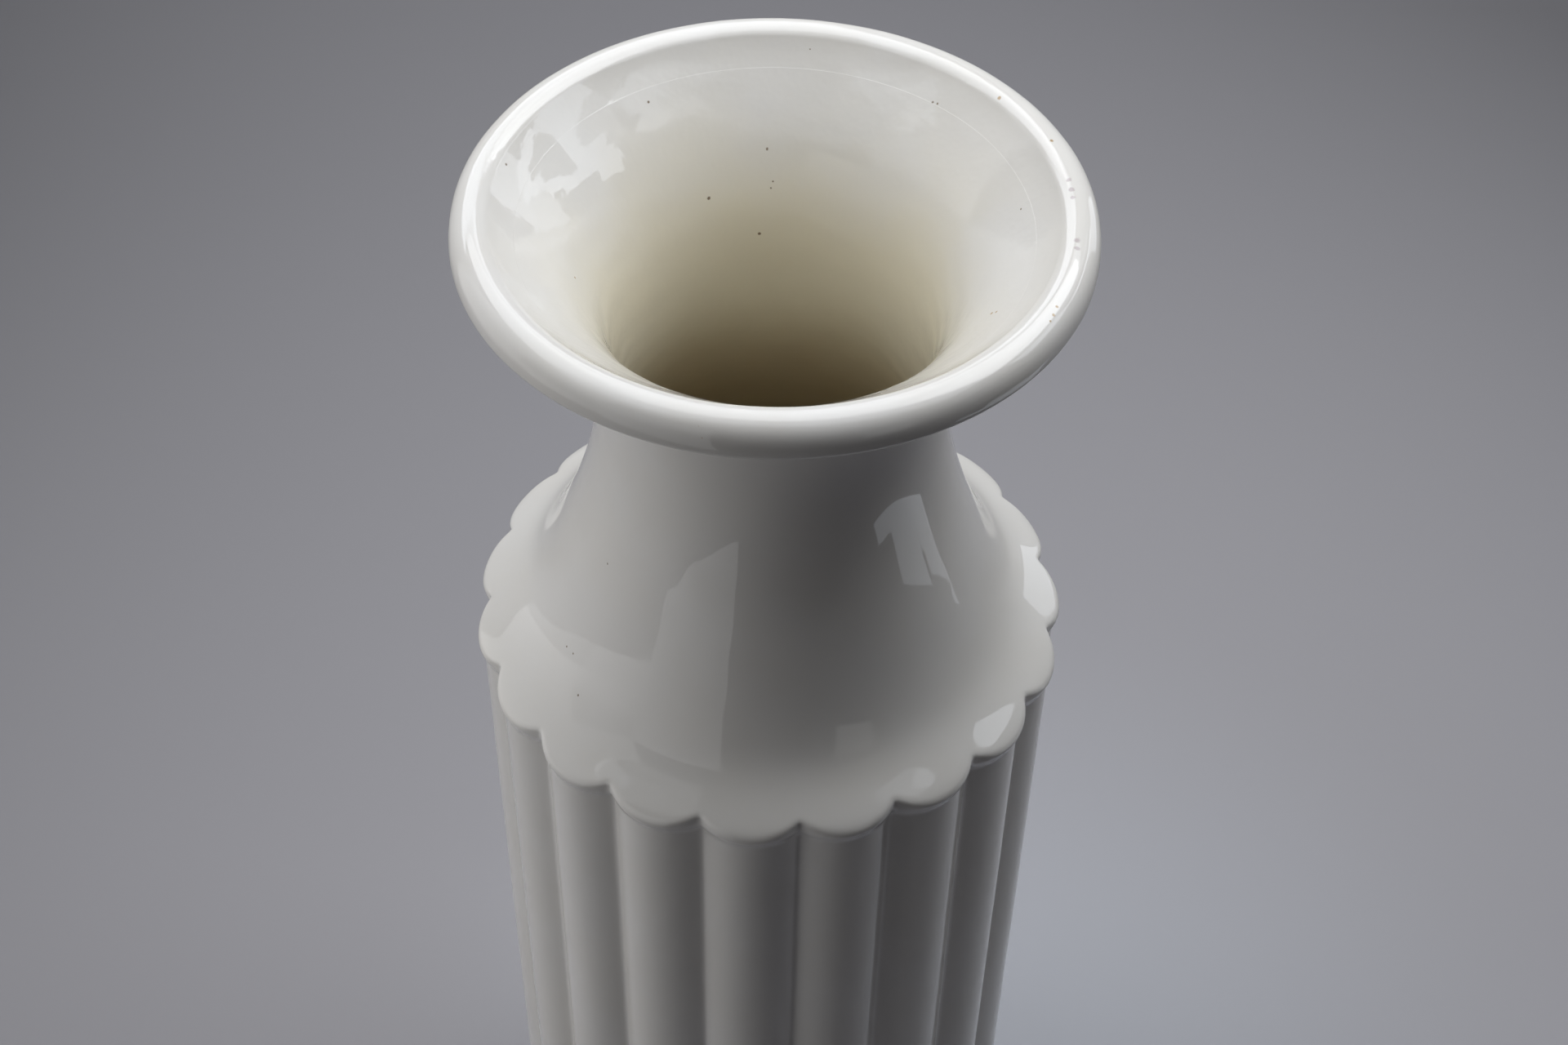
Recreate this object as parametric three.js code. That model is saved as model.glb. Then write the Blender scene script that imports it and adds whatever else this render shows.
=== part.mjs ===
// A tall white floor vase: a straight ribbed body, a scalloped shoulder edge, a concave
// shoulder and neck, and a trumpet mouth with a thick rolled lip.
// It is built as a potter builds it, from clay sections with rebated joints.
// Every section is a turned profile. The body and the shoulder edge are also fluted.
// Millimetres, +Z up, origin at the centre of the standing face, a rib facing -Y.

import * as THREE from 'three';

// Driving sizes: ribbed body
const ribCount = 19;
const ribCrestRadius = 108.5;
const ribDepth = 6.1;
const bodyWall = 6.4;
const bodyHeight = 386.3;
const bodyLowerRound = 8;
const ribSoftness = 2;

// Driving sizes: foot and floor
const footHeight = 10;
const footInset = 9.5;
const footWidth = 13;
const footSpigotHeight = 3;
const footBevel = 1.2;
const floorThickness = 9;

// Driving sizes: scalloped shoulder
const skirtHeight = 14;
const edgeOverhang = 2.3;
const edgeOverhangRise = 7;
const edgeRoundWidth = 10.3;
const edgeTopRise = 2;
const edgeSlope = 10;
const shoulderRise = 47;
const shoulderOuterPull = 14;
const shoulderInnerPull = 20.2;

// Driving sizes: neck
const neckJointRadius = 73.5;
const neckLean = 20;
const neckRise = 66;
const neckPull = 22;
const throatRadius = 54;
const neckWall = 7;

// Driving sizes: flared mouth and lip
const mouthRise = 76.7;
const mouthRadius = 92.3;
const mouthSlope = 49;
const mouthThroatPull = 48;
const mouthRimPull = 23.2;
const lipHeight = 13;
const lipCrownRound = 6.6;
const lipFaceRound = 10;
const lipFaceTurn = 61;
const lipLowerRound = 3;

// Driving sizes: joints and the coils pressed over their inside seams
const slipGap = 0.3;
const lapHeight = 6;
const lipLapHeight = 3;
const floorCoilSize = 8;
const floorCoilTip = 1.2;
const shoulderCoilThickness = 3.6;
const shoulderCoilHeight = 9.5;

// Fineness of the surfaces
const stepsPerRib = 6;
const edgeSteps = 6;
const roundSegments = 60;
const shoulderSteps = 6;
const neckSteps = 5;
const mouthSteps = 8;
const roundSteps = 3;

// Heights of the joints above the floor
const bodyTop = footHeight + bodyHeight;
const edgeLevel = bodyTop + skirtHeight;
const neckJoint = edgeLevel + shoulderRise;
const waist = neckJoint + neckRise;
const lipTop = waist + mouthRise;
const lipJoint = lipTop - lipHeight;

// Radii that follow from them
const grooveRadius = ribCrestRadius - ribDepth;
const bodyBoreRadius = grooveRadius - bodyWall;
const lapRadius = (bodyBoreRadius + grooveRadius) / 2;
const footOuterRadius = ribCrestRadius - footInset;
const footBoreRadius = footOuterRadius - footWidth;
const profileRadius = ribCrestRadius + ribSoftness;
const edgeRadius = profileRadius + edgeOverhang;
const waistRadius = throatRadius + neckWall;

const point = (radius, height) => new THREE.Vector2(radius, height);
const radians = THREE.MathUtils.degToRad;

// Each rib is one arc from groove to groove, so its radius follows from crest and groove.
const halfRibAngle = Math.PI / ribCount;
const halfRibChord = grooveRadius * Math.sin(halfRibAngle);
const ribProud = ribCrestRadius - grooveRadius * Math.cos(halfRibAngle);
const ribArcRadius = (halfRibChord ** 2 + ribProud ** 2) / (2 * ribProud);
const ribArcCentre = ribCrestRadius - ribArcRadius;

function ribRadius(angle) {
  const fromCrest = angle - Math.round(angle / (2 * halfRibAngle)) * 2 * halfRibAngle;
  const across = ribArcCentre * Math.sin(fromCrest);
  return ribArcCentre * Math.cos(fromCrest) + Math.sqrt(ribArcRadius ** 2 - across ** 2);
}

// The smaller of two radii, with the corner between them softened by the glaze.
function softSmaller(a, b) {
  const near = Math.max(ribSoftness - Math.abs(a - b), 0) / ribSoftness;
  return Math.min(a, b) - near ** 2 * ribSoftness / 4;
}

// Turns a closed profile about the vase's axis. The profile runs up its outer side and
// down its inner side. Its first points are cut back to the ribs and grooves, which stand
// out from the body's by the overhang given for each of these points.
function turned(profile, segments, overhangs = []) {
  const closed = [...profile, profile[0]];
  const geometry = new THREE.LatheGeometry(closed, segments);
  const position = geometry.attributes.position;
  for (let i = 0; i < position.count; i += 1) {
    const overhang = overhangs[i % closed.length % profile.length];
    if (overhang !== undefined) {
      const angle = Math.atan2(position.getX(i), position.getZ(i));
      const radius = Math.hypot(position.getX(i), position.getZ(i));
      const share = softSmaller(radius, ribRadius(angle) + overhang) / radius;
      position.setX(i, position.getX(i) * share);
      position.setZ(i, position.getZ(i) * share);
    }
  }
  geometry.rotateX(Math.PI / 2);
  return geometry;
}

// Points parallel to a rising curve, at a distance towards the outside of the vase.
function parallel(curve, steps, distance) {
  const points = [];
  for (let i = 0; i <= steps; i += 1) {
    const along = curve.getTangent(i / steps);
    const outward = point(along.y, -along.x);
    points.push(curve.getPoint(i / steps).addScaledVector(outward, distance));
  }
  return points;
}

// The point where a rising line of points passes a height.
function crossing(line, height) {
  const above = line.findIndex((p, i) => i > 0 && p.y >= height);
  const [low, high] = [line[above - 1], line[above]];
  return low.clone().lerp(high, (height - low.y) / (high.y - low.y));
}

// The part of a rising line of points between two heights.
function stretch(line, bottom, top) {
  const between = line.filter((p) => p.y > bottom && p.y < top);
  return [crossing(line, bottom), ...between, crossing(line, top)];
}

// Shoulder and neck are shaped on their outer face, the mouth on its inner face.
const edgeTop = point(edgeRadius - edgeRoundWidth, edgeLevel + edgeTopRise);
const edgeTangent = point(-Math.cos(radians(edgeSlope)), Math.sin(radians(edgeSlope)));
const neckFoot = point(neckJointRadius, neckJoint);
const neckTangent = point(-Math.sin(radians(neckLean)), Math.cos(radians(neckLean)));
const crownTurn = radians(90 + mouthSlope);
const crownDrop = lipCrownRound * (1 - Math.sin(crownTurn));
const rim = point(mouthRadius, lipTop - crownDrop);
const rimTangent = point(Math.cos(radians(mouthSlope)), Math.sin(radians(mouthSlope)));

const shoulderCurve = new THREE.CubicBezierCurve(
  edgeTop,
  edgeTop.clone().addScaledVector(edgeTangent, shoulderOuterPull),
  neckFoot.clone().addScaledVector(neckTangent, -shoulderInnerPull),
  neckFoot,
);
const neckCurve = new THREE.CubicBezierCurve(
  neckFoot,
  neckFoot.clone().addScaledVector(neckTangent, neckPull),
  point(waistRadius, waist - neckPull),
  point(waistRadius, waist),
);
const mouthCurve = new THREE.CubicBezierCurve(
  point(throatRadius, waist),
  point(throatRadius, waist + mouthThroatPull),
  rim.clone().addScaledVector(rimTangent, -mouthRimPull),
  rim,
);

const outerLine = [
  ...parallel(shoulderCurve, shoulderSteps, 0).slice(0, -1),
  ...parallel(neckCurve, neckSteps, 0).slice(0, -1),
  ...parallel(mouthCurve, mouthSteps, neckWall),
];
const underShoulder = [
  ...parallel(shoulderCurve, shoulderSteps, -neckWall),
  ...parallel(neckCurve, neckSteps, -neckWall).slice(1, -1),
].filter((p) => p.x < bodyBoreRadius);
const innerLine = [
  point(bodyBoreRadius, bodyTop),
  point(bodyBoreRadius, underShoulder[0].y - slipGap),
  ...underShoulder,
  ...parallel(mouthCurve, mouthSteps, 0),
];

// A rebated joint: the lower section's inner half stands up as a spigot inside the upper
// section's skirt. These are the corners on each side of it, from outer face to inner face.
function spigotCorners(height, lap) {
  const middle = (crossing(outerLine, height).x + crossing(innerLine, height + lap).x) / 2;
  return [point(middle, height), point(middle, height + lap)];
}

function skirtCorners(height, lap) {
  return spigotCorners(height, lap).map((p) => point(p.x + slipGap, p.y + slipGap)).reverse();
}

function footRing() {
  const spigotRadius = bodyBoreRadius - slipGap;
  return turned([
    point(footOuterRadius - footBevel, 0),
    point(footOuterRadius, footBevel),
    point(footOuterRadius, footHeight),
    point(spigotRadius, footHeight),
    point(spigotRadius, footHeight + footSpigotHeight),
    point(footBoreRadius, footHeight + footSpigotHeight),
    point(footBoreRadius, footBevel),
    point(footBoreRadius + footBevel, 0),
  ], roundSegments);
}

const floorUnderside = footHeight + footSpigotHeight + slipGap;
const floorTop = floorUnderside + floorThickness;

function baseFloor() {
  const floorRadius = bodyBoreRadius - slipGap;
  return turned([
    point(0, floorUnderside),
    point(floorRadius, floorUnderside),
    point(floorRadius, floorTop),
    point(0, floorTop),
  ], roundSegments);
}

function floorSeamCoil() {
  const outer = bodyBoreRadius - slipGap;
  const bottom = floorTop + slipGap;
  const reach = floorCoilSize + floorCoilTip;
  const hollow = new THREE.EllipseCurve(
    outer - reach, bottom + reach, floorCoilSize, floorCoilSize, 0, -Math.PI / 2, true,
  );
  return turned([
    point(outer, bottom),
    point(outer, bottom + reach),
    ...hollow.getPoints(roundSteps),
    point(outer - reach, bottom),
  ], roundSegments);
}

function flutedBody() {
  const bottom = footHeight + slipGap;
  const lower = new THREE.EllipseCurve(
    profileRadius - bodyLowerRound, bottom + bodyLowerRound,
    bodyLowerRound, bodyLowerRound, -Math.PI / 2, 0,
  );
  const outer = [...lower.getPoints(roundSteps + 1), point(profileRadius, bodyTop)];
  return turned([
    ...outer,
    point(lapRadius, bodyTop),
    point(lapRadius, bodyTop + lapHeight),
    point(bodyBoreRadius, bodyTop + lapHeight),
    point(bodyBoreRadius, bottom),
  ], ribCount * stepsPerRib, outer.map(() => 0));
}

function shoulderSeamCoil() {
  const outer = bodyBoreRadius - slipGap;
  const inner = outer - shoulderCoilThickness;
  const bevel = shoulderCoilThickness / 2;
  return turned([
    point(outer, bodyTop),
    point(outer, bodyTop + shoulderCoilHeight),
    point(outer - bevel, bodyTop + shoulderCoilHeight),
    point(inner, bodyTop + shoulderCoilHeight - bevel),
    point(inner, bodyTop + bevel),
    point(outer - bevel, bodyTop),
  ], roundSegments);
}

// The scalloped edge overhangs the ribs below it and rounds over into the shoulder.
function scallopedShoulder() {
  const edgeCorner = edgeTop.y - edgeRoundWidth * Math.tan(radians(edgeSlope));
  const edge = new THREE.QuadraticBezierCurve(
    point(edgeRadius, bodyTop + slipGap),
    point(edgeRadius, edgeCorner),
    edgeTop,
  );
  const outer = [
    ...edge.getPoints(edgeSteps),
    ...stretch(outerLine, edgeTop.y, neckJoint).slice(1),
  ];
  const overhangs = outer.map((p) => edgeOverhang * THREE.MathUtils.smoothstep(
    p.y, bodyTop, bodyTop + edgeOverhangRise,
  ));
  return turned([
    ...outer,
    ...spigotCorners(neckJoint, lapHeight),
    ...stretch(innerLine, bodyTop + lapHeight + slipGap, neckJoint + lapHeight).reverse(),
    point(lapRadius + slipGap, bodyTop + lapHeight + slipGap),
    point(lapRadius + slipGap, bodyTop + slipGap),
  ], ribCount * stepsPerRib, overhangs);
}

function neck() {
  return turned([
    ...stretch(outerLine, neckJoint + slipGap, waist),
    ...spigotCorners(waist, lapHeight),
    ...stretch(innerLine, neckJoint + lapHeight + slipGap, waist + lapHeight).reverse(),
    ...skirtCorners(neckJoint, lapHeight),
  ], roundSegments);
}

function flaredMouth() {
  return turned([
    ...stretch(outerLine, waist + slipGap, lipJoint),
    ...spigotCorners(lipJoint, lipLapHeight),
    ...stretch(innerLine, waist + lapHeight + slipGap, lipJoint + lipLapHeight).reverse(),
    ...skirtCorners(waist, lapHeight),
  ], roundSegments);
}

// The lip's section: a tight crown, a rounder outer face and a small lower corner.
function lipRing() {
  const bottom = lipJoint + slipGap;
  const faceTurn = radians(lipFaceTurn);
  const crownCentre = point(mouthRadius - lipCrownRound * Math.cos(crownTurn), lipTop - lipCrownRound);
  const faceCentre = crownCentre.clone().addScaledVector(
    point(Math.cos(faceTurn), Math.sin(faceTurn)), lipCrownRound - lipFaceRound,
  );
  const outerRadius = faceCentre.x + lipFaceRound;
  const lower = new THREE.EllipseCurve(
    outerRadius - lipLowerRound, bottom + lipLowerRound,
    lipLowerRound, lipLowerRound, -Math.PI / 2, 0,
  );
  const face = new THREE.EllipseCurve(
    faceCentre.x, faceCentre.y, lipFaceRound, lipFaceRound, 0, faceTurn,
  );
  const crown = new THREE.EllipseCurve(
    crownCentre.x, crownCentre.y, lipCrownRound, lipCrownRound, faceTurn, crownTurn,
  );
  return turned([
    ...lower.getPoints(roundSteps),
    ...face.getPoints(roundSteps),
    ...crown.getPoints(roundSteps + 1).slice(1, -1),
    ...stretch(innerLine, lipJoint + lipLapHeight + slipGap, rim.y).reverse(),
    ...skirtCorners(lipJoint, lipLapHeight),
  ], roundSegments);
}

function glaze() {
  return new THREE.MeshStandardMaterial({ color: 0xe9e8e2, roughness: 0.12, metalness: 0 });
}

function bareClay() {
  return new THREE.MeshStandardMaterial({ color: 0xd8cbb4, roughness: 0.85, metalness: 0 });
}

const vase = new THREE.Group();

function addSection(name, geometry, material) {
  const section = new THREE.Mesh(geometry, material);
  section.name = name;
  vase.add(section);
}

addSection('foot_ring', footRing(), bareClay());
addSection('base_floor', baseFloor(), bareClay());
addSection('floor_seam_coil', floorSeamCoil(), bareClay());
addSection('fluted_body', flutedBody(), glaze());
addSection('shoulder_seam_coil', shoulderSeamCoil(), bareClay());
addSection('scalloped_shoulder', scallopedShoulder(), glaze());
addSection('neck', neck(), glaze());
addSection('flared_mouth', flaredMouth(), glaze());
addSection('lip_ring', lipRing(), glaze());

export default vase;
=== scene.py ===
import math

import bpy
import numpy as np
from mathutils import Matrix, Vector


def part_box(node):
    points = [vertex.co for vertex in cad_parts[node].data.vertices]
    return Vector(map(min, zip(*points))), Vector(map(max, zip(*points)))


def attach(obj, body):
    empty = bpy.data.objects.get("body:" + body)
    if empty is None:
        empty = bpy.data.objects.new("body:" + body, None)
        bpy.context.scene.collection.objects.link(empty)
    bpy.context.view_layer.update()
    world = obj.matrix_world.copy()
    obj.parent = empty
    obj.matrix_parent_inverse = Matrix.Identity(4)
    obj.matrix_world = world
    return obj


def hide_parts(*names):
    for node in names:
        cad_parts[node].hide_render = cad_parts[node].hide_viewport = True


# A tall white glazed floor vase with a ribbed body, a scalloped shoulder, a concave neck
# and a trumpet mouth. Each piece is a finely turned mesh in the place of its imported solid,
# apart from the two seam coils inside, which stay as they are packed.

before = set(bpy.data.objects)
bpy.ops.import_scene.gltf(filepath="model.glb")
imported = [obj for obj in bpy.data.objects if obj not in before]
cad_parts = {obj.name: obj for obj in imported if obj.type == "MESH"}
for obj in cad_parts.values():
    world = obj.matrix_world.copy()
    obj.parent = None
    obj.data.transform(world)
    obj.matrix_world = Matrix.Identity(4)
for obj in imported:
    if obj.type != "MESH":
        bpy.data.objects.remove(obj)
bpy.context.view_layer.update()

MM = 0.001

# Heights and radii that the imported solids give
FOOT_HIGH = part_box("foot_ring")[1]
FLOOR_LOW, FLOOR_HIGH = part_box("base_floor")
BODY_LOW, BODY_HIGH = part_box("fluted_body")
SHOULDER_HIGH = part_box("scalloped_shoulder")[1]
NECK_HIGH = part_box("neck")[1]
MOUTH_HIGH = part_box("flared_mouth")[1]
LIP_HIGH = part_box("lip_ring")[1]

SLIP_GAP = 0.3 * MM
LAP = 6 * MM
LIP_LAP = 3 * MM
BODY_TOP = BODY_HIGH.z - LAP
NECK_JOINT = SHOULDER_HIGH.z - LAP
WAIST = NECK_HIGH.z - LAP
LIP_JOINT = MOUTH_HIGH.z - LIP_LAP
LIP_TOP = LIP_HIGH.z

# Foot and base floor
FOOT_BEVEL = 1.2 * MM
FOOT_WIDTH = 13 * MM
FLOOR_CENTRE_RING = 1 * MM

# Ribs
RIB_COUNT = 19
GROOVE_RADIUS = 102.4 * MM
RIB_CREST_RADIUS = 108.5 * MM
GROOVE_FILLET = 1.4 * MM
RIB_SOFTNESS = 2 * MM
PROFILE_RADIUS = RIB_CREST_RADIUS + RIB_SOFTNESS
BORE_RADIUS = 96 * MM
LAP_RADIUS = (BORE_RADIUS + GROOVE_RADIUS) / 2
BODY_LOWER_ROUND = 8 * MM

# Scalloped shoulder
EDGE_LEVEL = BODY_TOP + 14 * MM
EDGE_OVERHANG = 2.3 * MM
EDGE_OVERHANG_RISE = 9.5 * MM
EDGE_ROUND_WIDTH = 10.3 * MM
EDGE_TOP_RISE = 2 * MM
EDGE_RADIUS = PROFILE_RADIUS + EDGE_OVERHANG
EDGE_SLOPE = math.radians(10)
LOBE_INNER_RADIUS = 92 * MM
LOBE_TOP_PULL = 15.5 * MM
LOBE_SIDE_PULL = 13.5 * MM
SHOULDER_OUTER_PULL = 14 * MM
SHOULDER_INNER_PULL = 20.2 * MM

# Neck, mouth and lip. The last three are shares of a curve's own reach
NECK_JOINT_RADIUS = 73.5 * MM
NECK_LEAN = math.radians(20)
NECK_PULL = 22 * MM
THROAT_RADIUS = 54 * MM
NECK_WALL = 7 * MM
MOUTH_RADIUS = 92.3 * MM
MOUTH_SLOPE = math.radians(49)
MOUTH_THROAT_PULL = 48 * MM
MOUTH_RIM_PULL = 23.2 * MM
CROWN_ROUND = 6.6 * MM
LIP_FACE_ROUND = 10 * MM
LIP_FACE_TURN = math.radians(61)
LIP_LOWER_ROUND = 3 * MM
LIP_FACE_PULL = 0.75
LIP_CROWN_PULL = 0.42
CROWN_CORNER = 0.62

# Fineness of the meshes
STEPS_PER_RIB = 28
AROUND = RIB_COUNT * STEPS_PER_RIB
CURVE_STEPS = 160
MOUTH_STEPS = 200
BODY_STEPS = 90
BORE_STEPS = 60
LOBE_STEPS = 60
LIP_STEPS = 40
CROWN_STEPS = 30
ROUND_STEPS = 16
FLOOR_STEPS = 12
FLAT_STEPS = 8
FOOT_STEPS = 6
FLOOR_EDGE_STEPS = 3
END_RING = 0.1 * MM
SHARP_CORNER = math.radians(60)

# The hand-made surface: its waves are this high and about this long
WAVE_HEIGHT = 0.04 * MM
WAVE_LENGTH = 26 * MM
WAVE_LENGTH_SPREAD = (0.6, 1.7)
WAVE_COUNT = 24
WAVE_SEED = 7
WAVE_CALM_RADIUS = 20 * MM

# The thrown ribbed part is a little longer from front to back
OVAL = 1.5 * MM
OVAL_INNER_RADIUS = 88 * MM


def bezier(start, start_pull, end_pull, end, count):
    """Points along one cubic curve in (radius, height)."""
    t = np.linspace(0, 1, count)[:, None]
    a, b, c, d = (np.array(p, float) for p in (start, start_pull, end_pull, end))
    return (1 - t) ** 3 * a + 3 * (1 - t) ** 2 * t * b + 3 * (1 - t) * t ** 2 * c + t ** 3 * d


def quarter_round(centre, radius, count):
    """A quarter circle in (radius, height) from straight below its centre to straight outside."""
    angle = np.linspace(-math.pi / 2, 0, count)
    return np.stack([centre[0] + radius * np.cos(angle), centre[1] + radius * np.sin(angle)], 1)


def parallel(line, distance):
    """A rising line moved sideways, outwards for a positive distance."""
    along = np.gradient(line, axis=0)
    along /= np.linalg.norm(along, axis=1)[:, None]
    return line + distance * np.stack([along[:, 1], -along[:, 0]], 1)


def radius_at(line, height):
    """The radius of a rising line at a height."""
    return np.interp(height, line[:, 1], line[:, 0])


def stretch(line, bottom, top):
    """The part of a rising line between two heights, with a fine ring next to each end."""
    inside = line[(line[:, 1] > bottom + 2 * END_RING) & (line[:, 1] < top - 2 * END_RING)]
    ends = [bottom, bottom + END_RING, top - END_RING, top]
    ends = [[radius_at(line, height), height] for height in ends]
    return np.vstack([ends[:2], inside, ends[2:]])


def straight(start, end, count):
    """Evenly spaced points on a line, without its last point."""
    t = np.linspace(0, 1, count, endpoint=False)[:, None]
    return np.array(start) * (1 - t) + np.array(end) * t


# Outer and inner lines of the shoulder, neck and mouth
edge_top = np.array([EDGE_RADIUS - EDGE_ROUND_WIDTH, EDGE_LEVEL + EDGE_TOP_RISE])
edge_tangent = np.array([-math.cos(EDGE_SLOPE), math.sin(EDGE_SLOPE)])
neck_foot = np.array([NECK_JOINT_RADIUS, NECK_JOINT])
neck_tangent = np.array([-math.sin(NECK_LEAN), math.cos(NECK_LEAN)])
crown_turn = math.pi / 2 + MOUTH_SLOPE
rim = np.array([MOUTH_RADIUS, LIP_TOP - CROWN_ROUND * (1 - math.sin(crown_turn))])
rim_tangent = np.array([math.sin(crown_turn), -math.cos(crown_turn)])
waist_radius = THROAT_RADIUS + NECK_WALL

shoulder_line = bezier(
    edge_top,
    edge_top + SHOULDER_OUTER_PULL * edge_tangent,
    neck_foot - SHOULDER_INNER_PULL * neck_tangent,
    neck_foot,
    CURVE_STEPS,
)
neck_line = bezier(
    neck_foot,
    neck_foot + NECK_PULL * neck_tangent,
    (waist_radius, WAIST - NECK_PULL),
    (waist_radius, WAIST),
    CURVE_STEPS,
)
mouth_line = bezier(
    (THROAT_RADIUS, WAIST),
    (THROAT_RADIUS, WAIST + MOUTH_THROAT_PULL),
    rim - MOUTH_RIM_PULL * rim_tangent,
    rim,
    MOUTH_STEPS,
)
under_line = parallel(np.vstack([shoulder_line[:-1], neck_line]), -NECK_WALL)
under_line = under_line[under_line[:, 0] < BORE_RADIUS]
outer_line = np.vstack([shoulder_line[:-1], neck_line[:-1], parallel(mouth_line, NECK_WALL)])
inner_line = np.vstack([
    [BORE_RADIUS, BODY_TOP],
    [BORE_RADIUS, under_line[0, 1] - SLIP_GAP],
    under_line[:-1],
    mouth_line,
])

# One rib is one arc from groove to groove
half_rib = math.pi / RIB_COUNT
half_chord = GROOVE_RADIUS * math.sin(half_rib)
rib_proud = RIB_CREST_RADIUS - GROOVE_RADIUS * math.cos(half_rib)
rib_arc_radius = (half_chord ** 2 + rib_proud ** 2) / (2 * rib_proud)
rib_arc_centre = RIB_CREST_RADIUS - rib_arc_radius


def rib_radius(from_crest):
    """A single rib's radius at an angle from its crest."""
    across = np.minimum(np.abs(rib_arc_centre * np.sin(from_crest)), rib_arc_radius)
    return rib_arc_centre * np.cos(from_crest) + np.sqrt(rib_arc_radius ** 2 - across ** 2)


def grooved_radius(angle):
    """The ribbed wall's radius, with a little glaze lying in the grooves."""
    from_crest = np.abs((angle + half_rib) % (2 * half_rib) - half_rib)
    here = rib_radius(from_crest)
    beside = rib_radius(from_crest - 2 * half_rib)
    near = np.maximum(GROOVE_FILLET - np.abs(here - beside), 0) / GROOVE_FILLET
    return np.maximum(here, beside) + GROOVE_FILLET / 4 * near ** 2


def ease(t):
    """A soft change from 0 to 1."""
    t = np.clip(t, 0, 1)
    return t * t * (3 - 2 * t)


def ease_softly(t):
    """A change from 0 to 1 whose curvature starts and ends softly too."""
    t = np.clip(t, 0, 1)
    return t ** 3 * (t * (6 * t - 15) + 10)


def soft_smaller(a, b):
    """The smaller of two radii, with the corner between them rounded off."""
    near = np.maximum(RIB_SOFTNESS - np.abs(a - b), 0) / RIB_SOFTNESS
    return np.minimum(a, b) - RIB_SOFTNESS / 4 * near ** 2


rng = np.random.default_rng(WAVE_SEED)
wave_ways = rng.normal(size=(WAVE_COUNT, 3))
wave_ways /= np.linalg.norm(wave_ways, axis=1)[:, None]
wave_ways *= 2 * math.pi / (WAVE_LENGTH * rng.uniform(*WAVE_LENGTH_SPREAD, WAVE_COUNT))[:, None]
wave_starts = rng.uniform(0, 2 * math.pi, WAVE_COUNT)


def waves(points):
    """The slow unevenness of a hand-finished surface, about -1 to 1."""
    total = np.zeros(len(points))
    for way, start in zip(wave_ways, wave_starts):
        total += np.sin(points @ way + start)
    return total / math.sqrt(WAVE_COUNT)


def uneven(points):
    """The points moved in or out by the waves, which are calm near the axis."""
    radial = points * [1, 1, 0]
    length = np.linalg.norm(radial, axis=1)
    height = WAVE_HEIGHT * waves(points) * np.minimum(length / WAVE_CALM_RADIUS, 1)
    return points + radial / np.maximum(length, MM)[:, None] * height[:, None]


def ring_faces(rows, columns, closed_axis):
    """Faces between rings of points, round to the first ring or with a cap at either end."""
    i, j = np.meshgrid(np.arange(rows), np.arange(columns), indexing="ij")
    up, on = (i + 1) % rows, (j + 1) % columns
    corners = [i * columns + j, i * columns + on, up * columns + on, up * columns + j]
    faces = np.stack(corners, -1).reshape(-1, 4)
    if not closed_axis:
        return faces.tolist()
    first_cap = list(range(columns))[::-1]
    last_cap = [(rows - 1) * columns + k for k in range(columns)]
    return faces[: (rows - 1) * columns].tolist() + [first_cap, last_cap]


def turned(name, outer, inner, overhang=None, closed_axis=False):
    """One closed turned mesh. The profile runs up its outer face and back down inside.
    With an overhang for each outer point, the outer face is ribbed."""
    profile = np.vstack([outer, inner])
    angle = np.arange(AROUND) * 2 * math.pi / AROUND
    radius = np.repeat(profile[:, 0][:, None], AROUND, 1)
    height = np.repeat(profile[:, 1][:, None], AROUND, 1)
    if overhang is not None:
        ribbed = grooved_radius(angle)[None, :] + overhang[:, None]
        ribbed = soft_smaller(radius[:len(outer)], ribbed)
        share = ease((ribbed - OVAL_INNER_RADIUS) / (GROOVE_RADIUS - OVAL_INNER_RADIUS))
        radius[:len(outer)] = ribbed + OVAL * share * np.cos(angle)[None, :] ** 2
    points = np.stack([radius * np.sin(angle), -radius * np.cos(angle), height], -1)
    points = uneven(points.reshape(-1, 3))
    mesh = bpy.data.meshes.new(name)
    mesh.from_pydata(points.tolist(), [], ring_faces(len(profile), AROUND, closed_axis))
    mesh.validate()
    mesh.shade_smooth()
    mesh.set_sharp_from_angle(angle=SHARP_CORNER)
    piece = bpy.data.objects.new(name, mesh)
    bpy.context.scene.collection.objects.link(piece)
    return piece


def rebate(height, lap):
    """The two corners of a joint's step, from the outer face inwards."""
    middle = (radius_at(outer_line, height) + radius_at(inner_line, height + lap)) / 2
    return np.array([[middle, height], [middle, height + lap]])


def build_foot_ring():
    """The ring that the vase stands on, with the spigot inside the body wall."""
    radius = FOOT_HIGH.x
    top = BODY_LOW.z - SLIP_GAP
    spigot_radius = BORE_RADIUS - SLIP_GAP
    bore = radius - FOOT_WIDTH
    outer = np.vstack([
        quarter_round((radius - FOOT_BEVEL, FOOT_BEVEL), FOOT_BEVEL, FLAT_STEPS),
        straight((radius, FOOT_BEVEL), (radius, top), FOOT_STEPS)[1:],
        [[radius, top]],
    ])
    inner = np.array([
        [spigot_radius, top],
        [spigot_radius, FOOT_HIGH.z],
        [bore, FOOT_HIGH.z],
        [bore, FOOT_BEVEL],
        [bore + FOOT_BEVEL, 0],
    ])
    return turned("foot_ring_clay", outer, inner)


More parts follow.
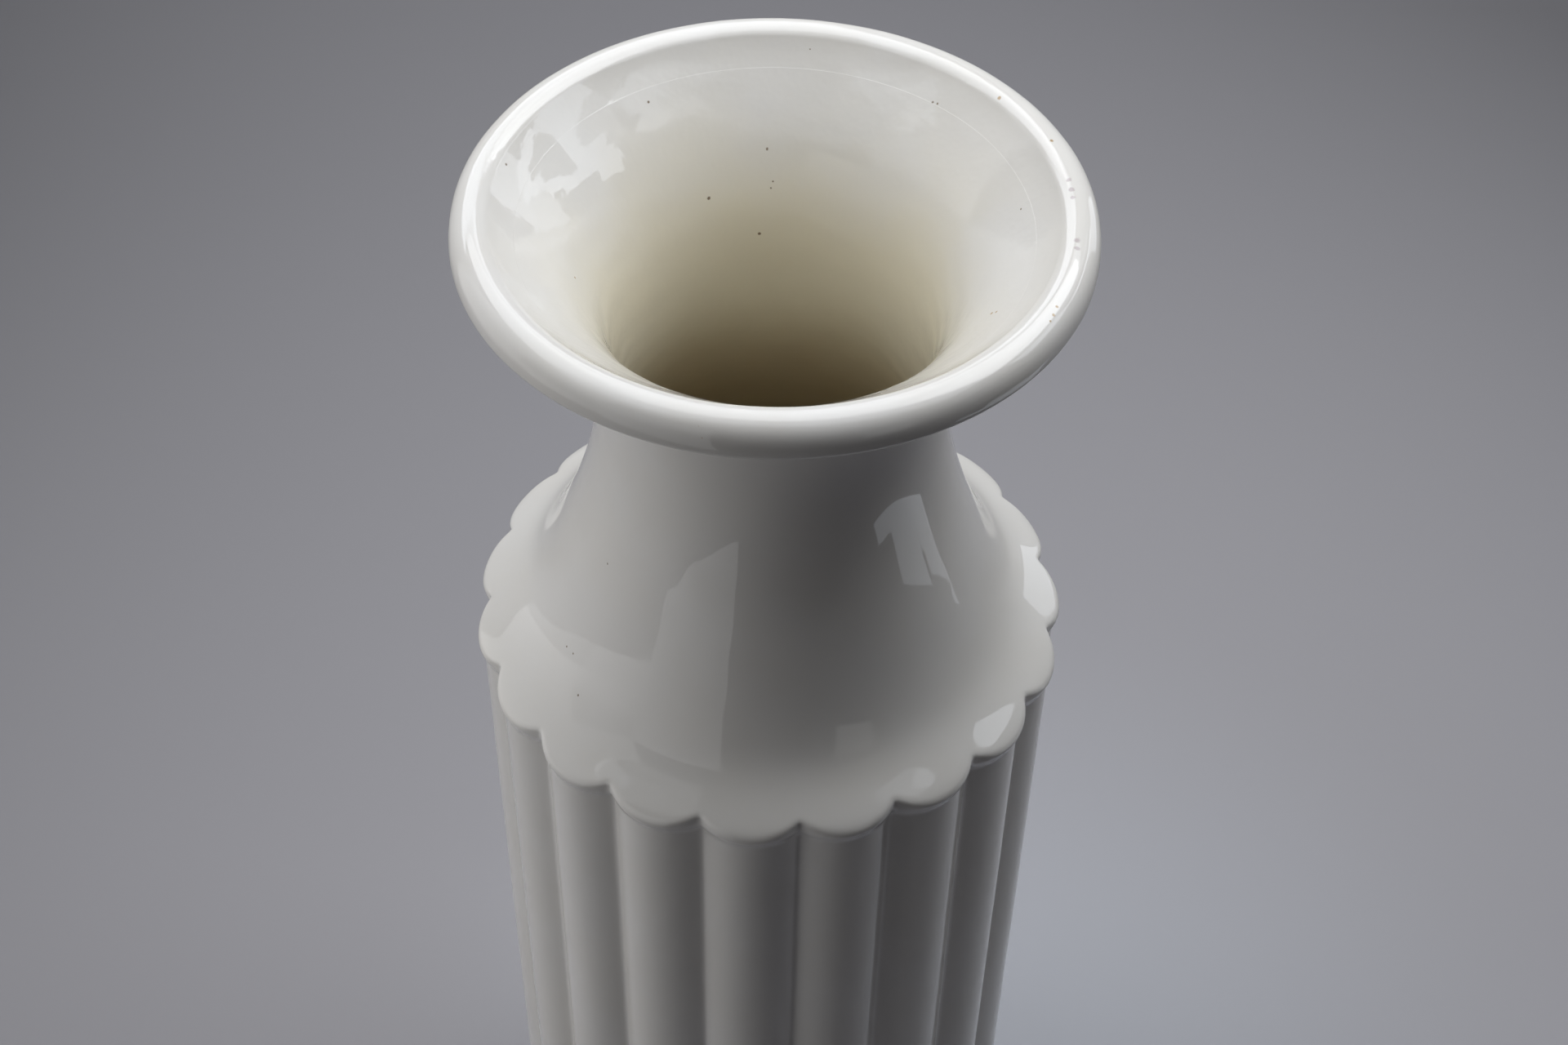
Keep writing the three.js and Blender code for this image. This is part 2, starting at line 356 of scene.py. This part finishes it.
def build_base_floor():
    """The slab that closes the bottom."""
    radius = FLOOR_HIGH.x
    outer = np.vstack([
        straight((FLOOR_CENTRE_RING, FLOOR_LOW.z), (radius, FLOOR_LOW.z), FLOOR_STEPS),
        straight((radius, FLOOR_LOW.z), (radius, FLOOR_HIGH.z), FLOOR_EDGE_STEPS),
    ])
    inner = np.vstack([
        straight((radius, FLOOR_HIGH.z), (FLOOR_CENTRE_RING, FLOOR_HIGH.z), FLOOR_STEPS),
        [[FLOOR_CENTRE_RING, FLOOR_HIGH.z]],
    ])
    return turned("base_floor_slab", outer, inner, closed_axis=True)


def build_fluted_body():
    """The ribbed wall, rounded off at its lower end, with its half of the shoulder joint."""
    bottom = BODY_LOW.z
    round_top = bottom + BODY_LOWER_ROUND
    last_ring = BODY_TOP - END_RING
    outer = np.vstack([
        quarter_round((PROFILE_RADIUS - BODY_LOWER_ROUND, round_top), BODY_LOWER_ROUND, ROUND_STEPS),
        straight((PROFILE_RADIUS, round_top), (PROFILE_RADIUS, last_ring), BODY_STEPS)[1:],
        [[PROFILE_RADIUS, last_ring], [PROFILE_RADIUS, BODY_TOP]],
    ])
    inner = np.vstack([
        [[LAP_RADIUS, BODY_TOP], [LAP_RADIUS, BODY_TOP + LAP]],
        straight((BORE_RADIUS, BODY_TOP + LAP), (BORE_RADIUS, bottom), BORE_STEPS),
        [[BORE_RADIUS, bottom]],
    ])
    return turned("ribbed_body", outer, inner, overhang=np.zeros(len(outer)))


def build_shoulder():
    """The scalloped lobes, which swell out over the ribs, and the concave shoulder."""
    low = np.array([EDGE_RADIUS, BODY_TOP])
    first = int(np.argmin(np.abs(shoulder_line[:, 0] - LOBE_INNER_RADIUS)))
    lobe_foot = shoulder_line[first]
    outwards = shoulder_line[first - 1] - lobe_foot
    outwards /= np.linalg.norm(outwards)
    rounding = bezier(
        low,
        low + [0, LOBE_SIDE_PULL],
        lobe_foot + LOBE_TOP_PULL * outwards,
        lobe_foot,
        LOBE_STEPS,
    )
    outer = np.vstack([
        [low, low + [0, END_RING]],
        rounding[1:],
        stretch(outer_line, lobe_foot[1], NECK_JOINT)[2:],
    ])
    skirt_radius = LAP_RADIUS + SLIP_GAP
    inner = np.vstack([
        rebate(NECK_JOINT, LAP),
        stretch(inner_line, BODY_TOP + LAP, NECK_JOINT + LAP)[::-1],
        [[skirt_radius, BODY_TOP + LAP], [skirt_radius, BODY_TOP]],
    ])
    overhang = EDGE_OVERHANG * ease_softly((outer[:, 1] - BODY_TOP) / EDGE_OVERHANG_RISE)
    return turned("shoulder_with_scallops", outer, inner, overhang=overhang)


def build_section(name, low, low_lap, high, high_lap):
    """A plain turned section of the wall between two joints."""
    skirt = rebate(low, low_lap) + [SLIP_GAP, 0]
    outer = stretch(outer_line, low, high)
    inner = np.vstack([
        rebate(high, high_lap),
        stretch(inner_line, low + low_lap, high + high_lap)[::-1],
        skirt[::-1],
    ])
    return turned(name, outer, inner)


def build_lip():
    """The rolled lip: a rounded lower edge, an upright face, and a crown that turns inwards."""
    face_drop = CROWN_ROUND + (LIP_FACE_ROUND - CROWN_ROUND) * math.sin(LIP_FACE_TURN)
    face = np.array([LIP_HIGH.x, LIP_TOP - face_drop])
    crown = np.array([MOUTH_RADIUS - CROWN_ROUND * math.cos(crown_turn), LIP_TOP])
    inner_corner = rim + (LIP_TOP - rim[1]) / rim_tangent[1] * rim_tangent
    face_pull = LIP_FACE_PULL * (crown[1] - face[1])
    crown_pull = LIP_CROWN_PULL * (face[0] - crown[0])
    lower_centre = (face[0] - LIP_LOWER_ROUND, LIP_JOINT + LIP_LOWER_ROUND)
    underside_start = (radius_at(outer_line, LIP_JOINT), LIP_JOINT)
    outer = np.vstack([
        straight(underside_start, (lower_centre[0], LIP_JOINT), FLAT_STEPS),
        quarter_round(lower_centre, LIP_LOWER_ROUND, ROUND_STEPS),
        bezier(face, face + [0, face_pull], crown + [crown_pull, 0], crown, LIP_STEPS),
        bezier(
            crown,
            crown + CROWN_CORNER * (inner_corner - crown),
            rim + CROWN_CORNER * (inner_corner - rim),
            rim,
            CROWN_STEPS,
        )[1:-1],
    ])
    skirt = rebate(LIP_JOINT, LIP_LAP) + [SLIP_GAP, 0]
    inner = np.vstack([
        stretch(inner_line, LIP_JOINT + LIP_LAP, rim[1])[::-1],
        skirt[::-1],
    ])
    return turned("rolled_lip", outer, inner)


# Shader nodes
def feed(tree, socket, value):
    """Sets a socket to a plain value, or links it to another node's output."""
    if isinstance(value, bpy.types.NodeSocket):
        tree.links.new(value, socket)
    else:
        socket.default_value = value


def calculate(tree, operation, first, second=0):
    """A sum with two numbers."""
    node = tree.nodes.new("ShaderNodeMath")
    node.operation = operation
    feed(tree, node.inputs[0], first)
    feed(tree, node.inputs[1], second)
    return node.outputs["Value"]


def calculate_vector(tree, operation, *values, scale=None, output="Vector"):
    """A sum with up to three vectors, or with one vector and a scale."""
    node = tree.nodes.new("ShaderNodeVectorMath")
    node.operation = operation
    for socket, value in zip(node.inputs, values):
        feed(tree, socket, value)
    if scale is not None:
        feed(tree, node.inputs["Scale"], scale)
    return node.outputs[output]


def share_between(tree, value, start, end):
    """0 where the value is at its start, 1 where it is at its end, and a soft change between."""
    node = tree.nodes.new("ShaderNodeMapRange")
    node.interpolation_type = "SMOOTHSTEP"
    feed(tree, node.inputs["Value"], value)
    feed(tree, node.inputs["From Min"], start)
    feed(tree, node.inputs["From Max"], end)
    return node.outputs["Result"]


def blend(tree, factor, first, second):
    """The first colour where the factor is 0, the second where it is 1."""
    node = tree.nodes.new("ShaderNodeMix")
    node.data_type = "RGBA"
    feed(tree, node.inputs["Factor"], factor)
    feed(tree, node.inputs[6], first)
    feed(tree, node.inputs[7], second)
    return node.outputs[2]


def noise(tree, position, scale, detail):
    """Cloudy unevenness in space, from 0 to 1."""
    node = tree.nodes.new("ShaderNodeTexNoise")
    feed(tree, node.inputs["Vector"], position)
    feed(tree, node.inputs["Scale"], scale)
    feed(tree, node.inputs["Detail"], detail)
    return node.outputs["Fac"]


def seen_rays(tree):
    """1 for what the camera sees, straight or mirrored, and 0 for light thrown at the vase."""
    rays = tree.nodes.new("ShaderNodeLightPath")
    return calculate(tree, "MAXIMUM", rays.outputs["Is Camera Ray"], rays.outputs["Is Glossy Ray"])


# The glaze's colours, cloudiness and gloss
PLAIN_WHITE = (0.82, 0.80, 0.765, 1)
PLAIN_WHITE_LIGHTER = (0.83, 0.815, 0.79, 1)
CREAM = (0.885, 0.835, 0.69, 1)
# Painted shade: the darker brown deep in the throat stands in for the light that falls off down
# there
THROAT_PAINTED_SHADE = (0.60, 0.51, 0.35, 1)
GLAZE_ROUGHNESS = 0.025
GLAZE_IOR = 1.5
CLOUD_SCALE = 22
CLOUD_DETAIL = 4
CLOUD_EDGES = (0.35, 0.65)
CLOUD_LIFT = 30 * MM

# Where the glaze turns to cream inside the mouth, then to a darker brown that is painted shade deep
# in the throat, and how inside is told
CREAM_HEIGHTS = (LIP_TOP + 5 * MM, LIP_TOP - 50 * MM)
THROAT_SHADE_HEIGHTS = (LIP_TOP - 60 * MM, LIP_TOP - 130 * MM)
INSIDE_EDGES = (4 * MM, -20 * MM)

# The glaze's ripples and throwing rings
RIPPLE_HEIGHT = 0.13 * MM
RIPPLE_SCALE = 150
RIPPLE_DETAIL = 2
OUTSIDE_RIPPLE = 0.15
RING_PITCH = 13 * MM
RING_SHARE = 0.3

# Marks in the glaze: colour, then angle from the front in degrees, radius, height and size in mm
IRON = (0.24, 0.18, 0.12, 1)
BROWN = (0.50, 0.36, 0.20, 1)
BARE = (0.62, 0.56, 0.56, 1)
MARKS = {
    IRON: [
        (-174, 65.7, 569.4, 0.7), (-153.6, 59, 556.2, 0.8), (-171, 55.1, 539.9, 0.8),
        (-143.8, 81.3, 586.8, 0.6), (-100.2, 91.1, 596.4, 0.7), (144.3, 85, 590.3, 0.6),
        (143, 85.2, 590.4, 0.5), (176, 89.7, 594.9, 0.5), (102.6, 81.9, 587.4, 0.5),
        (-175.8, 60.2, 559.3, 0.5), (-175.2, 59.3, 557.1, 0.5), (-52.4, 85, 429.4, 0.5),
        (-51.5, 69.6, 469.2, 0.5), (-55.4, 85.2, 429, 0.5), (-45.4, 90.7, 420.5, 0.6),
    ],
    BROWN: [
        (68.4, 76.3, 582, 0.7), (68.1, 77.9, 583.6, 0.7), (60.7, 100.7, 599, 0.6),
        (62.3, 100.3, 599.3, 0.7), (64.4, 99.7, 599.5, 0.7), (130.5, 94.4, 599.3, 0.9),
        (113.5, 97.3, 600, 0.8), (-83.3, 65.9, 569.7, 0.5), (-9, 102.9, 597.3, 0.4),
        (-8.6, 104, 595.8, 0.4), (-8.2, 104.7, 594.6, 0.4),
    ],
    BARE: [
        (101.3, 96.4, 599.9, 1.2), (98.3, 96.3, 599.9, 1.3), (95.9, 96.2, 599.9, 1.1),
        (83.3, 97.4, 600, 1.5), (81, 97.8, 600, 1.3),
    ],
}
MARK_OUTER_EDGE = 1.5
MARK_INNER_EDGE = 0.9
MARK_RAGGED_SCALE = 900
MARK_RAGGED_DETAIL = 2

# Bare clay
CLAY_DARK = (0.50, 0.44, 0.35, 1)
CLAY_LIGHT = (0.66, 0.60, 0.50, 1)
CLAY_ROUGHNESS = 0.85
CLAY_GRAIN_SCALE = 420


def new_material(name):
    """A new material, its node tree and its shader."""
    material = bpy.data.materials.new(name)
    material.use_nodes = True
    return material, material.node_tree, material.node_tree.nodes["Principled BSDF"]


def add_marks(tree, position, colour):
    """The colour with all the small marks laid over it."""
    ragged = noise(tree, position, MARK_RAGGED_SCALE, MARK_RAGGED_DETAIL)
    for tint, marks in MARKS.items():
        for degrees, radius, height, size in marks:
            angle = math.radians(degrees)
            centre = Vector((radius * math.sin(angle), -radius * math.cos(angle), height)) * MM
            away = calculate_vector(tree, "DISTANCE", position, centre, output="Value")
            reach = calculate(tree, "ADD", away, calculate(tree, "MULTIPLY", ragged, size * MM))
            outer_edge = size * MARK_OUTER_EDGE * MM
            inner_edge = size * MARK_INNER_EDGE * MM
            colour = blend(tree, share_between(tree, reach, outer_edge, inner_edge), colour, tint)
    return colour


def add_ripples(tree, position, inside, uneven_height):
    """The normal of a rippled surface, with faint throwing rings inside the mouth."""
    depth = calculate(tree, "MULTIPLY", inside, 1 - OUTSIDE_RIPPLE)
    depth = calculate(tree, "ADD", depth, OUTSIDE_RIPPLE)
    ripples = noise(tree, position, RIPPLE_SCALE, RIPPLE_DETAIL)
    ripples = calculate(tree, "MULTIPLY", depth, ripples)
    ring_angle = calculate(tree, "MULTIPLY", uneven_height, 2 * math.pi / RING_PITCH)
    rings = calculate(tree, "MULTIPLY", calculate(tree, "SINE", ring_angle), inside)
    rings = calculate(tree, "MULTIPLY", rings, RING_SHARE)
    bump = tree.nodes.new("ShaderNodeBump")
    feed(tree, bump.inputs["Strength"], 1)
    feed(tree, bump.inputs["Distance"], RIPPLE_HEIGHT)
    feed(tree, bump.inputs["Height"], calculate(tree, "ADD", ripples, rings))
    return bump.outputs["Normal"]


def glaze_material():
    """White glossy glaze. It pools cream-coloured towards the throat, is painted darker brown deeper
    in the throat as shade, and is a little rippled.
    """
    material, tree, shader = new_material("white_glaze_gloss")
    place = tree.nodes.new("ShaderNodeNewGeometry")
    position = place.outputs["Position"]
    axes = tree.nodes.new("ShaderNodeSeparateXYZ")
    feed(tree, axes.inputs["Vector"], position)

    # A face is inside where its normal points at the axis
    level_normal = calculate_vector(tree, "MULTIPLY", place.outputs["Normal"], (1, 1, 0))
    outward = calculate_vector(tree, "DOT_PRODUCT", level_normal, position, output="Value")
    inside = share_between(tree, outward, *INSIDE_EDGES)

    cloud = noise(tree, position, CLOUD_SCALE, CLOUD_DETAIL)
    lift = calculate(tree, "MULTIPLY", cloud, CLOUD_LIFT)
    uneven_height = calculate(tree, "ADD", axes.outputs["Z"], lift)
    cream_share = share_between(tree, uneven_height, *CREAM_HEIGHTS)
    throat_shade_share = share_between(tree, uneven_height, *THROAT_SHADE_HEIGHTS)
    cloud_share = share_between(tree, cloud, *CLOUD_EDGES)
    colour = blend(tree, cloud_share, PLAIN_WHITE, PLAIN_WHITE_LIGHTER)
    colour = blend(tree, calculate(tree, "MULTIPLY", inside, cream_share), colour, CREAM)
    # The throat's darker brown is painted shade
    colour = blend(tree, calculate(tree, "MULTIPLY", inside, throat_shade_share), colour, THROAT_PAINTED_SHADE)

    feed(tree, shader.inputs["Base Color"], add_marks(tree, position, colour))
    feed(tree, shader.inputs["Normal"], add_ripples(tree, position, inside, uneven_height))
    feed(tree, shader.inputs["Roughness"], GLAZE_ROUGHNESS)
    feed(tree, shader.inputs["IOR"], GLAZE_IOR)
    return material


def clay_material():
    """Bare fired clay."""
    material, tree, shader = new_material("bare_fired_clay")
    place = tree.nodes.new("ShaderNodeTexCoord")
    grain = tree.nodes.new("ShaderNodeTexNoise")
    feed(tree, grain.inputs["Vector"], place.outputs["Object"])
    feed(tree, grain.inputs["Scale"], CLAY_GRAIN_SCALE)
    tint = tree.nodes.new("ShaderNodeValToRGB")
    tint.color_ramp.elements[0].color = CLAY_DARK
    tint.color_ramp.elements[1].color = CLAY_LIGHT
    feed(tree, tint.inputs["Fac"], grain.outputs["Fac"])
    feed(tree, shader.inputs["Base Color"], tint.outputs["Color"])
    feed(tree, shader.inputs["Roughness"], CLAY_ROUGHNESS)
    return material


def place_piece(piece, node, material):
    """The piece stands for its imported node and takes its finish."""
    piece.data.materials.append(material)
    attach(piece, "root")
    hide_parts(node)


glaze = glaze_material()
clay = clay_material()

clay_pieces = (
    (build_foot_ring(), "foot_ring"),
    (build_base_floor(), "base_floor"),
)
glazed_pieces = (
    (build_fluted_body(), "fluted_body"),
    (build_shoulder(), "scalloped_shoulder"),
    (build_section("concave_neck", NECK_JOINT, LAP, WAIST, LAP), "neck"),
    (build_section("trumpet_mouth", WAIST, LAP, LIP_JOINT, LIP_LAP), "flared_mouth"),
    (build_lip(), "lip_ring"),
)
for clay_piece, node_name in clay_pieces:
    place_piece(clay_piece, node_name, clay)
for glazed_piece, node_name in glazed_pieces:
    place_piece(glazed_piece, node_name, glaze)
for coil in ("floor_seam_coil", "shoulder_seam_coil"):
    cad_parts[coil].data.materials.clear()
    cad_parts[coil].data.materials.append(clay)


# Studio floor: painted light on its grey paint, lighter towards the camera and darker towards the
# sides, where less light falls
STUDIO_SIZE = 12
PAINT = (0.345, 0.338, 0.362)
PAINT_ROUGHNESS = 0.9
PAINTED_LIGHT_SIDES = (-0.65, 0.55)
PAINTED_LIGHT_DEPTHS = (0, 1)
MIDDLE_LIGHTNESS = 1.2
LEAST_LIGHTNESS = 0.5
SIDE_FALL = 0.71
DEPTH_FALL = 0.41
SLANT = 0.6
SLANT_FALL = 0.75

# The share of its lightness that the floor has where it only throws light back at the vase
THROWN_SHARE = 0.38

# A pool of cooler light beside the vase's foot
POOL_CENTRE = (0.12, 0.05, 0)
POOL_REACH = 0.34
POOL_TINT = (0.22, 0.28, 0.31)

# Away from the vase the floor runs out into an even grey, as on a studio's paper sweep
FAR_GREY = (0.24, 0.238, 0.255, 1)
FAR_DISTANCES = (1.1, 1.8)
FAR_SIDES = (0.66, 0.88)


def between(tree, value, lowest, highest):
    """The value, kept between two limits."""
    return calculate(tree, "MINIMUM", calculate(tree, "MAXIMUM", value, lowest), highest)


def painted_floor_light(tree, axes, shown):
    """The painted light on the floor: how light its paint is made at each place."""
    side = between(tree, axes.outputs["X"], *PAINTED_LIGHT_SIDES)
    depth = between(tree, axes.outputs["Y"], *PAINTED_LIGHT_DEPTHS)
    side_part = calculate(tree, "MULTIPLY", calculate(tree, "MULTIPLY", side, side), -SIDE_FALL)
    depth_part = calculate(tree, "MULTIPLY", depth, -DEPTH_FALL)
    slant = calculate(tree, "SUBTRACT", SLANT, calculate(tree, "MULTIPLY", depth, SLANT_FALL))
    lightness = calculate(tree, "ADD", side_part, depth_part)
    lightness = calculate(tree, "ADD", lightness, calculate(tree, "MULTIPLY", side, slant))
    lightness = calculate(tree, "ADD", lightness, MIDDLE_LIGHTNESS)
    lightness = calculate(tree, "MAXIMUM", lightness, LEAST_LIGHTNESS)
    part_shown = calculate(tree, "MULTIPLY", shown, 1 - THROWN_SHARE)
    return calculate(tree, "MULTIPLY", lightness, calculate(tree, "ADD", part_shown, THROWN_SHARE))


def pooled(tree, position, colour, shown):
    """The colour with the pool of cooler light added."""
    away = calculate_vector(tree, "DISTANCE", position, POOL_CENTRE, output="Value")
    share = calculate(tree, "MULTIPLY", share_between(tree, away, POOL_REACH, 0), shown)
    tint = calculate_vector(tree, "SCALE", POOL_TINT, scale=share)
    return calculate_vector(tree, "MULTIPLY_ADD", colour, tint, colour)


def floor_material():
    """Matt grey paint with painted light on it, which runs out into an even grey."""
    material, tree, shader = new_material("pale_grey_floor")
    place = tree.nodes.new("ShaderNodeNewGeometry")
    position = place.outputs["Position"]
    axes = tree.nodes.new("ShaderNodeSeparateXYZ")
    feed(tree, axes.inputs["Vector"], position)
    shown = seen_rays(tree)
    # Painted light: the floor's grey is made lighter and darker where light falls on it
    lightness = painted_floor_light(tree, axes, shown)
    colour = calculate_vector(tree, "SCALE", PAINT, scale=lightness)
    feed(tree, shader.inputs["Base Color"], pooled(tree, position, colour, shown))
    feed(tree, shader.inputs["Roughness"], PAINT_ROUGHNESS)

    distance = calculate_vector(tree, "LENGTH", position, output="Value")
    far_share = share_between(tree, distance, *FAR_DISTANCES)
    side_share = share_between(tree, calculate(tree, "ABSOLUTE", axes.outputs["X"]), *FAR_SIDES)
    paper_share = calculate(tree, "MAXIMUM", far_share, side_share)
    far_paper = tree.nodes.new("ShaderNodeEmission")
    feed(tree, far_paper.inputs["Color"], FAR_GREY)
    mix = tree.nodes.new("ShaderNodeMixShader")
    feed(tree, mix.inputs[0], calculate(tree, "MULTIPLY", paper_share, shown))
    feed(tree, mix.inputs[1], shader.outputs["BSDF"])
    feed(tree, mix.inputs[2], far_paper.outputs["Emission"])
    feed(tree, tree.nodes["Material Output"].inputs["Surface"], mix.outputs["Shader"])
    return material


bpy.ops.mesh.primitive_plane_add(size=STUDIO_SIZE)
studio_floor = bpy.context.object
studio_floor.name = "studio_floor"
studio_floor.data.materials.append(floor_material())


# Camera: the photograph's viewing angle, worked out for an image of 1920 x 1280
IMAGE_WIDTH = 1920
SENSOR_WIDTH = 36
FOCAL_PIXELS = 3023
CAMERA_REACH = 617.9 * MM
CAMERA_ABOVE_EDGE = 700.0 * MM
CAMERA_AZIMUTH = math.radians(3.13)
CAMERA_YAW = math.radians(0.457)
CAMERA_PITCH = math.radians(46.96)
CAMERA_ROLL = math.radians(1.244)

turn = Matrix.Rotation(CAMERA_AZIMUTH, 3, "Z")
camera_place = turn @ Vector((0, -CAMERA_REACH, EDGE_LEVEL + CAMERA_ABOVE_EDGE))
forward = turn @ Vector((
    math.sin(CAMERA_YAW) * math.cos(CAMERA_PITCH),
    math.cos(CAMERA_YAW) * math.cos(CAMERA_PITCH),
    -math.sin(CAMERA_PITCH),
))
right = turn @ Vector((math.cos(CAMERA_YAW), -math.sin(CAMERA_YAW), 0))
above = right.cross(forward)
camera_right = math.cos(CAMERA_ROLL) * right + math.sin(CAMERA_ROLL) * above
camera_up = math.cos(CAMERA_ROLL) * above - math.sin(CAMERA_ROLL) * right
camera_data = bpy.data.cameras.new("camera")
camera_data.sensor_fit = "HORIZONTAL"
camera_data.sensor_width = SENSOR_WIDTH
camera_data.lens = FOCAL_PIXELS / IMAGE_WIDTH * SENSOR_WIDTH
camera = bpy.data.objects.new("camera", camera_data)
camera_axes = Matrix((camera_right, camera_up, -forward)).transposed()
camera.matrix_world = Matrix.Translation(camera_place) @ camera_axes.to_4x4()
bpy.context.scene.collection.objects.link(camera)
bpy.context.scene.camera = camera


# Soft studio light. The lamps hang on these planes, and the cards a little before them
LEFT = -0.9
RIGHT = 0.9
CEILING = 1.6
FRONT = -0.75
LOW_WINDOW = 0.55
CARD_GAP = 0.01
LEFT_CARDS = LEFT + CARD_GAP
LEFT_FRONT_CARDS = LEFT_CARDS + CARD_GAP
RIGHT_CARDS = RIGHT - CARD_GAP
CEILING_CARDS = CEILING - CARD_GAP
WHITE = (1, 1, 1)
COOL = (0.96, 0.98, 1)
WINDOW = (0.88, 0.93, 1)


def softbox(name, low, high, radiance, tint=WHITE, lights=True, mirrored=True):
    """An even rectangular lamp between two corners, facing the vase. Radiance 1 shows as
    white in a mirror. It can light the vase, or only be mirrored in the glaze, or both."""
    low, high = Vector(low), Vector(high)
    spread = high - low
    width_axis, height_axis = (i for i in range(3) if abs(spread[i]) > MM)
    level_axis = 3 - width_axis - height_axis
    normal = Vector((0, 0, 0))
    normal[level_axis] = -math.copysign(1, low[level_axis])
    across, upward = (Vector([float(i == k) for i in range(3)]) for k in (width_axis, height_axis))
    if across.cross(upward).dot(normal) > 0:
        across = -across
    data = bpy.data.lights.new(name, "AREA")
    data.shape = "RECTANGLE"
    data.size = spread[width_axis]
    data.size_y = spread[height_axis]
    data.energy = radiance * math.pi * data.size * data.size_y
    data.color = tint
    lamp = bpy.data.objects.new(name, data)
    turn_to = Matrix((across, upward, -normal)).transposed()
    lamp.matrix_world = Matrix.Translation((low + high) / 2) @ turn_to.to_4x4()
    lamp.visible_diffuse = lights
    lamp.visible_glossy = mirrored
    lamp.visible_camera = False
    bpy.context.scene.collection.objects.link(lamp)


def fill(name, low, high, radiance, tint=WHITE):
    """A lamp that lights the vase and isn't mirrored in the glaze."""
    softbox(name, low, high, radiance, tint, mirrored=False)


def card(name, low, high, radiance, tint=WINDOW):
    """A card that is only mirrored in the glaze."""
    softbox(name, low, high, radiance, tint, lights=False)


# Left side
fill("left_softbox", (LEFT, -0.2, 0.02), (LEFT, 0.4, 1.5), 1.13)
card("left_card", (LEFT_CARDS, -0.2, 0.32), (LEFT_CARDS, 0.4, 1.5), 0.5, WHITE)
card("left_low_card", (LEFT_FRONT_CARDS, -0.2, 0.2), (LEFT_FRONT_CARDS, 0.4, 1.5), 0.4, WHITE)
fill("left_front_low_softbox", (LEFT, -0.75, 0.02), (LEFT, -0.2, 0.5), 1.85)
card("left_front_low_card", (LEFT_CARDS, -0.75, 0.2), (LEFT_CARDS, -0.2, 0.5), 0.7, WHITE)
softbox("left_front_softbox", (LEFT, -0.75, 0.5), (LEFT, -0.2, 1.0), 0.45)
softbox("left_front_high_softbox", (LEFT, -0.75, 1.0), (LEFT, -0.2, 1.5), 0.8)

# Behind the camera
card("front_left_card", (LEFT, FRONT, 0.02), (-0.19, FRONT, 1.0), 0.68, WHITE)
card("front_right_card", (0.43, FRONT, 0.43), (0.74, FRONT, 0.75), 0.5, WHITE)

# Overhead
softbox("top_left_softbox", (-1, 0, CEILING), (-0.35, 1.1, CEILING), 1.7, COOL)
softbox("top_middle_softbox", (-0.35, 0, CEILING), (0.35, 1.1, CEILING), 2.75, COOL)
softbox("top_right_softbox", (0.35, 0, CEILING), (1, 1.1, CEILING), 4.0, COOL)
softbox("top_front_left_softbox", (-1, -0.8, CEILING), (-0.35, 0, CEILING), 0.4)
card("top_card", (-1, 0, CEILING_CARDS), (1, 1.15, CEILING_CARDS), 1.6)
card("top_front_card", (-1, -0.36, CEILING_CARDS), (1, 0, CEILING_CARDS), 1.5)
card("top_front_edge_card", (-1, -0.48, CEILING_CARDS), (1, -0.36, CEILING_CARDS), 0.7)
card("back_left_card", (-1.6, 1.15, CEILING_CARDS), (0, 2.4, CEILING_CARDS), 3)

# Window on the right, and what is mirrored of it in the neck, the shoulder and the lip
fill("right_window", (RIGHT, 0.05, 1.15), (RIGHT, 1.2, 1.55), 2.3, COOL)
softbox("right_softbox", (RIGHT, 0.6, 0.02), (RIGHT, 1.2, 1.0), 0.1)
card("window_near_card", (RIGHT_CARDS, 0, 1.01), (RIGHT_CARDS, 0.42, 1.27), 2.5)
card("window_far_card", (RIGHT_CARDS, 0.42, 0.98), (RIGHT_CARDS, 1.0, 1.07), 2.8)
card("window_high_card", (RIGHT_CARDS, 0, 1.27), (RIGHT_CARDS, 1.2, 1.5), 0.8)
card("window_low_card", (RIGHT_CARDS, 0.7, 0.45), (RIGHT_CARDS, 1.2, 0.98), 1.5)
card("low_window_left", (LOW_WINDOW, -0.155, 0.1), (LOW_WINDOW, 0.003, 0.255), 0.8)
card("low_window_middle", (LOW_WINDOW, 0.003, 0.1), (LOW_WINDOW, 0.022, 0.209), 0.8)
card("low_window_right", (LOW_WINDOW, 0.022, 0.1), (LOW_WINDOW, 0.115, 0.235), 0.8)
card("low_window_wing", (LOW_WINDOW, -0.26, 0.1), (LOW_WINDOW, -0.155, 0.16), 0.8)

# The room around: a faint warm light, and the far grey where it is seen
ROOM_LIGHT = (1, 0.92, 0.87, 1)
ROOM_STRENGTH = 0.02


def studio_world():
    """A world that lights faintly and shows the floor's far grey."""
    world = bpy.data.worlds.new("studio_world")
    world.use_nodes = True
    tree = world.node_tree
    room = tree.nodes["Background"]
    feed(tree, room.inputs["Color"], ROOM_LIGHT)
    feed(tree, room.inputs["Strength"], ROOM_STRENGTH)
    backdrop = tree.nodes.new("ShaderNodeBackground")
    feed(tree, backdrop.inputs["Color"], FAR_GREY)
    mix = tree.nodes.new("ShaderNodeMixShader")
    feed(tree, mix.inputs[0], seen_rays(tree))
    feed(tree, mix.inputs[1], room.outputs["Background"])
    feed(tree, mix.inputs[2], backdrop.outputs["Background"])
    feed(tree, tree.nodes["World Output"].inputs["Surface"], mix.outputs["Shader"])
    return world


bpy.context.scene.world = studio_world()
bpy.context.scene.view_settings.view_transform = "Standard"
